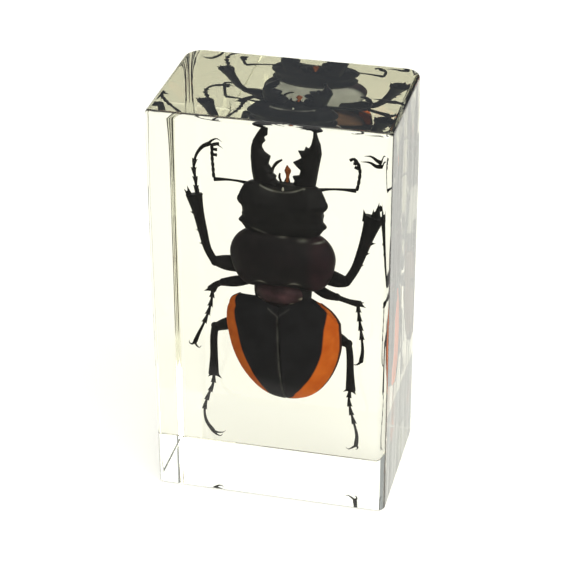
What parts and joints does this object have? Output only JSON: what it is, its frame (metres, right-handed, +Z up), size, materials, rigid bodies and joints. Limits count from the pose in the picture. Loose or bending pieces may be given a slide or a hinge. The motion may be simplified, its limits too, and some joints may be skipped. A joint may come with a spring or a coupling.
{
  "type": "insect in resin block",
  "caption": "Stag beetle with spread legs and raised mandibles, cast upright in a clear resin block that stands on its flat bottom.",
  "frame": {"origin": "middle of the block's flat bottom face", "axes": "+Z up, along the beetle from its hind end to its mandibles; the beetle's back faces -Y; +X is to the right seen from the front"},
  "size_m": [0.062, 0.041, 0.11],
  "materials": {
    "beetle_shell": "satin black chitin, orange along the outer edges of the wing cases",
    "clear_resin": "polished clear resin, very slightly cream"
  },
  "bodies": {
    "root": {"stag_beetle": "beetle_shell", "resin_front": "clear_resin", "resin_back": "clear_resin"}
  },
  "joints": []
}
